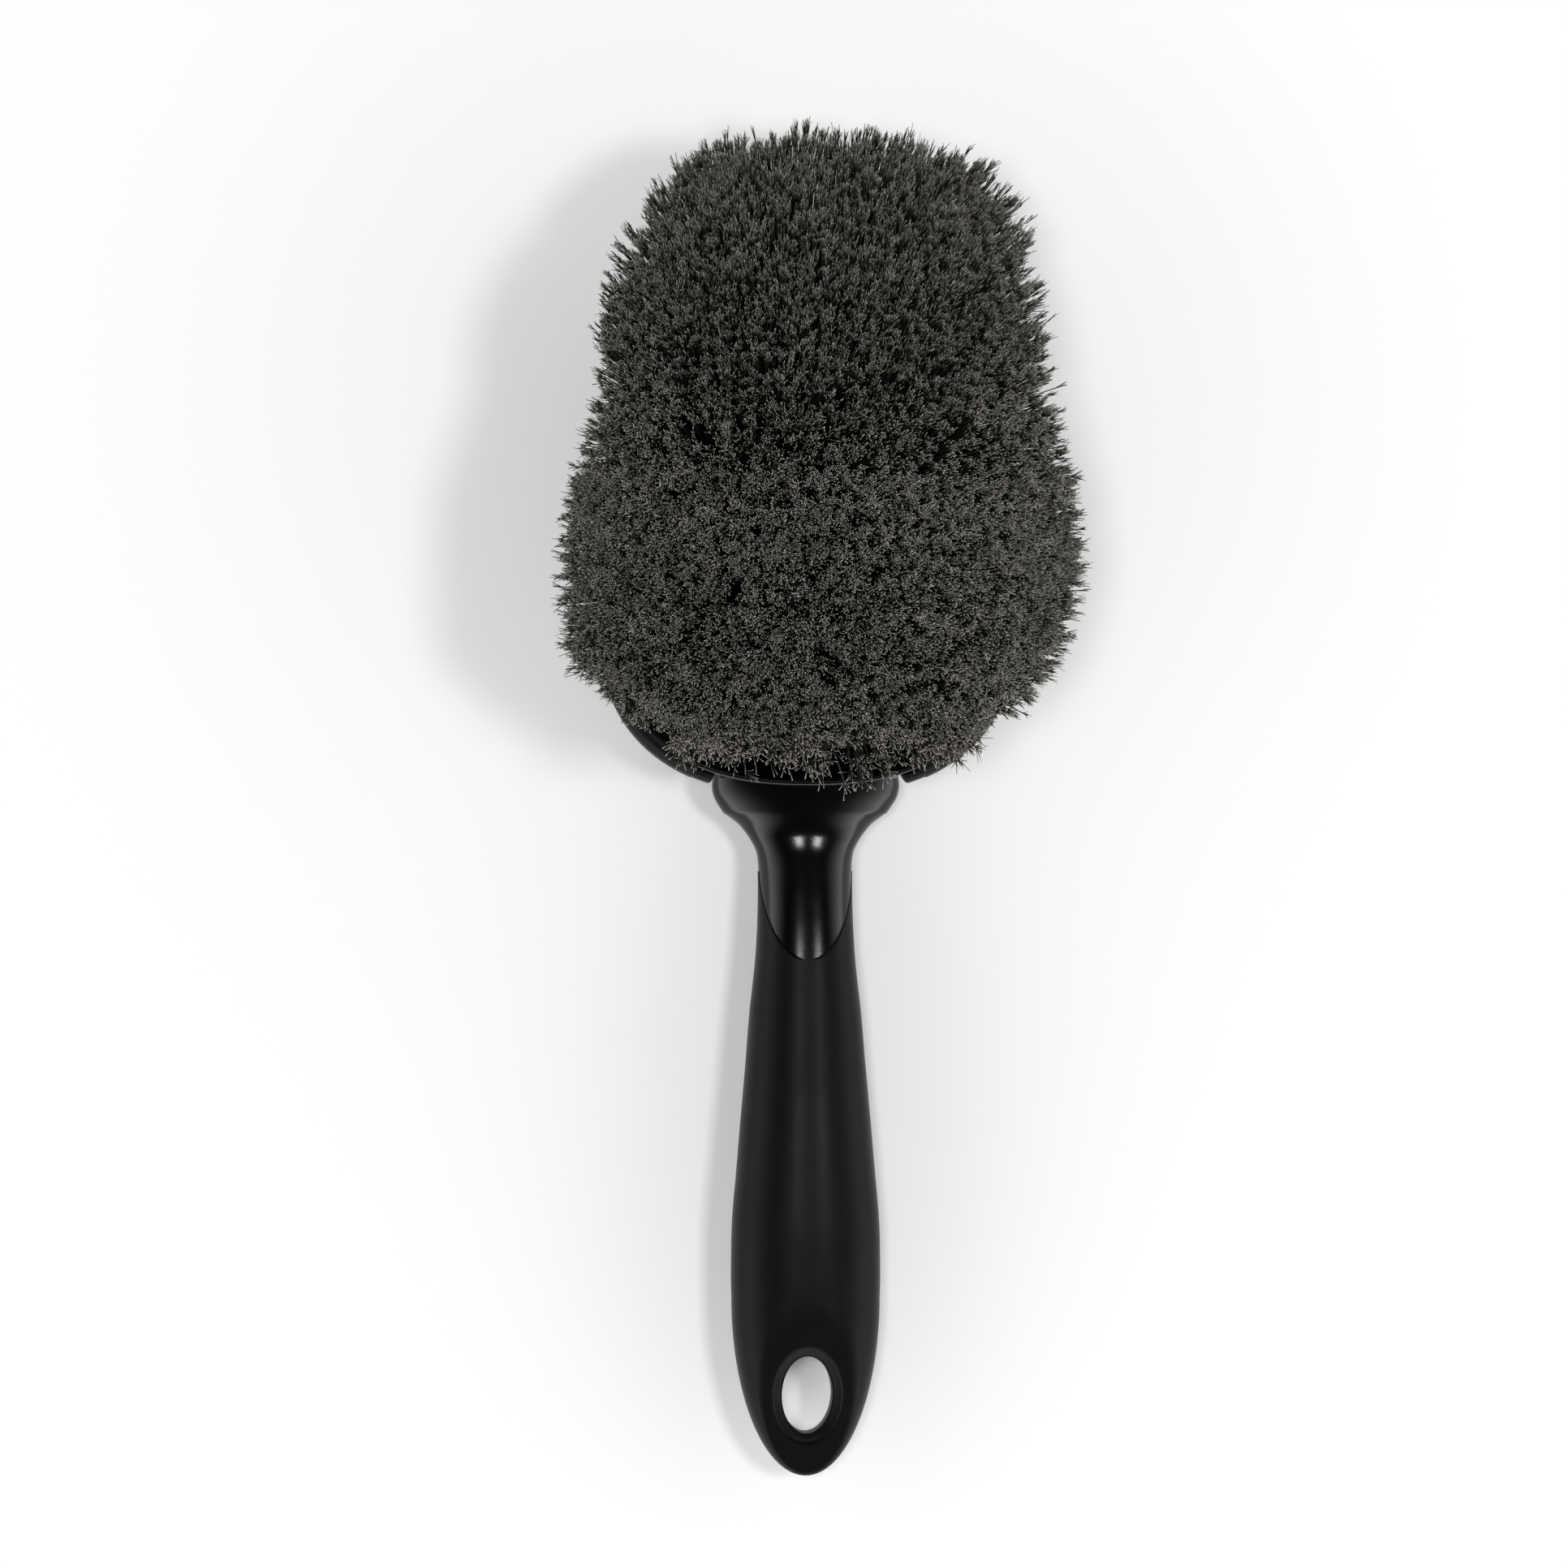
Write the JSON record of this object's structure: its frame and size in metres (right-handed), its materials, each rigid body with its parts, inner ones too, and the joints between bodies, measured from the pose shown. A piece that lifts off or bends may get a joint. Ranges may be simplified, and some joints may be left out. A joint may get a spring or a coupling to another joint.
{
  "type": "wheel brush",
  "caption": "Short-handled wheel brush with a soft flagged bristle mass, a rubber-edged dished head, a pinched neck and a soft grip with an oval hang hole.",
  "frame": {"origin": "centre of the flat on the head's back, on which the brush lies", "axes": "+Y from the handle to the toe of the head, +Z the way the bristles stand"},
  "size_m": [0.1118, 0.3009, 0.0676],
  "materials": {
    "hard_plastic": "satin black moulded polypropylene with a fine grain",
    "soft_rubber": "matte black soft-touch rubber",
    "block_plastic": "matte black plastic, drilled",
    "bristles": "soft dark grey flagged synthetic bristle"
  },
  "bodies": {
    "root": {"handle_core": "hard_plastic", "grip_sleeve": "soft_rubber", "head_bumper": "soft_rubber", "tuft_block": "block_plastic", "bristle_row_01": "bristles", "bristle_row_02": "bristles", "bristle_row_03": "bristles", "bristle_row_04": "bristles", "bristle_row_05": "bristles", "bristle_row_06": "bristles", "bristle_row_07": "bristles", "bristle_row_08": "bristles", "bristle_row_09": "bristles", "bristle_row_10": "bristles", "bristle_row_11": "bristles", "bristle_row_12": "bristles", "bristle_row_13": "bristles", "bristle_row_14": "bristles", "bristle_row_15": "bristles", "bristle_row_16": "bristles"}
  },
  "joints": []
}
